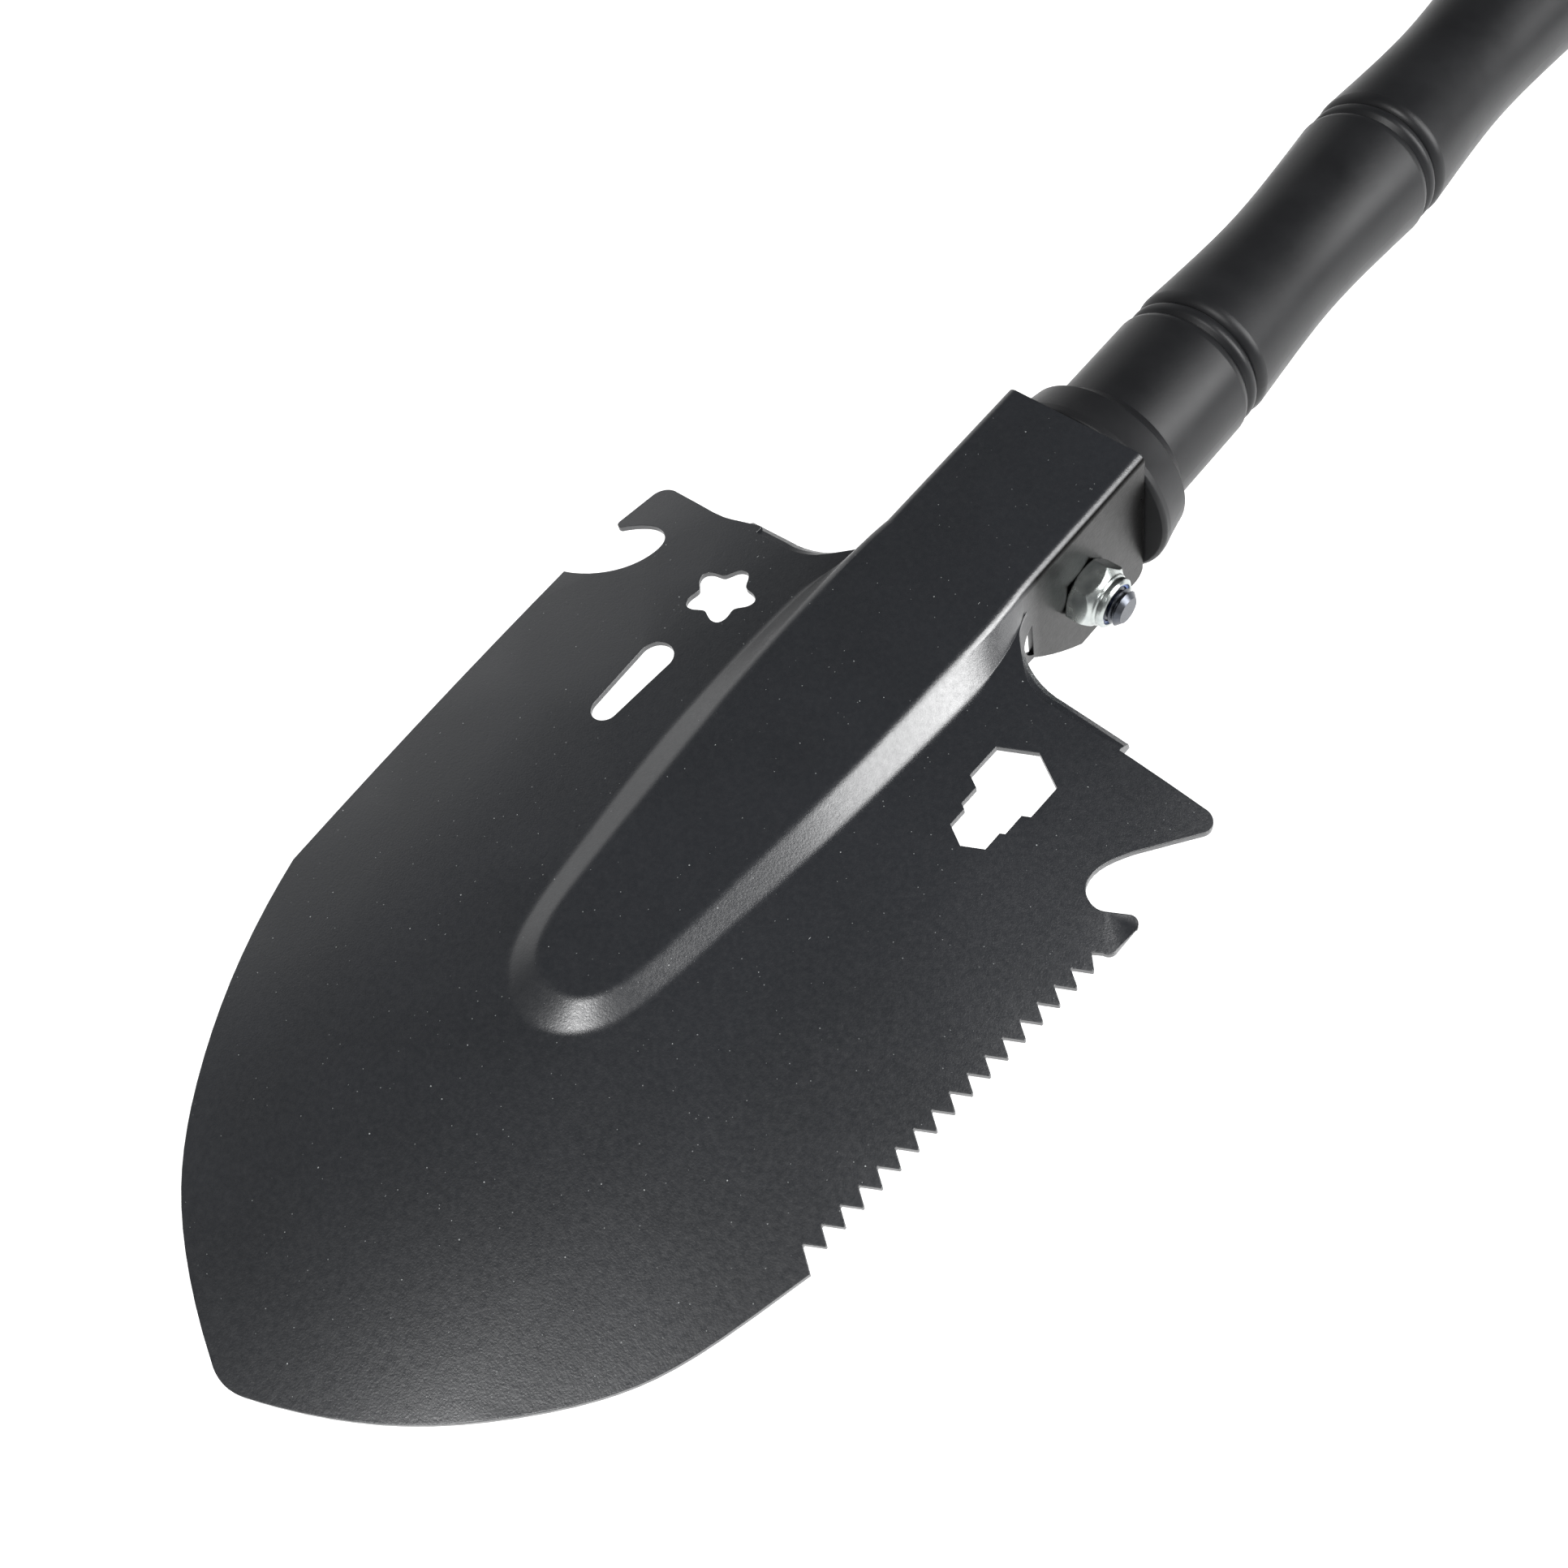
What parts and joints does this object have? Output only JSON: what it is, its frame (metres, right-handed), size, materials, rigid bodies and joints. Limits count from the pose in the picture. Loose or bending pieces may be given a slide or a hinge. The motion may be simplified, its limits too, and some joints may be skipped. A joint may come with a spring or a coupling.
{
  "type": "folding camp shovel",
  "caption": "Folding camp shovel: pointed black steel blade with saw edge, cut-outs and raised rib, bolted in a socket to a screw-locked handle of waisted sections.",
  "frame": {"origin": "on the handle's axis, in the middle of the plain cylinder of the front sleeve", "axes": "+Y along the handle's axis towards the tail, +Z out of the rib side of the blade, +X towards the saw edge"},
  "size_m": [0.145, 0.577, 0.0452],
  "materials": {
    "blade_black": "satin black powder coat",
    "grip_black": "satin black anodised",
    "ring_black": "satin black anodised",
    "cap_black": "satin black anodised",
    "zinc": "bright zinc plated",
    "bolt_dark": "dark zinc plated",
    "nylon_blue": "blue nylon",
    "steel_dark": "blackened",
    "steel_plain": "machined, lightly oiled",
    "washer": "natural nylon",
    "seal": "matt"
  },
  "bodies": {
    "handle": {"front_sleeve": "grip_black", "sleeve_insert": "steel_plain", "end_cap": "cap_black", "cap_seal": "seal", "joint_ring_1": "ring_black", "joiner_1": "steel_plain", "grip_section_1": "grip_black", "joint_ring_2": "ring_black", "joiner_2": "steel_plain", "grip_section_2": "grip_black", "joint_ring_3": "ring_black", "joiner_3": "steel_plain", "grip_section_3": "grip_black", "joint_ring_4": "ring_black", "joiner_4": "steel_plain", "grip_section_4": "grip_black"},
    "hinge": {"hinge_block": "steel_dark", "thrust_washer_left": "washer", "thrust_washer_right": "washer", "lock_stud": "steel_plain"},
    "shovel_head": {"blade": "blade_black", "hinge_bolt": "bolt_dark", "hinge_nut": "zinc", "nut_insert": "nylon_blue"}
  },
  "joints": [
    {"name": "collar_release", "type": "slide", "parent": "handle", "child": "hinge", "axis": [0, -1, 0], "range_m": [0, 0.0255]},
    {"name": "blade_fold", "type": "hinge", "parent": "hinge", "child": "shovel_head", "pos_m": [0, -0.0472, 0.0026], "axis": [1, 0, 0], "range_deg": [0, 90]}
  ],
  "couplings": [
    {"joint": "collar_release", "follows": "blade_fold", "m_per_rad": 0.016}
  ]
}
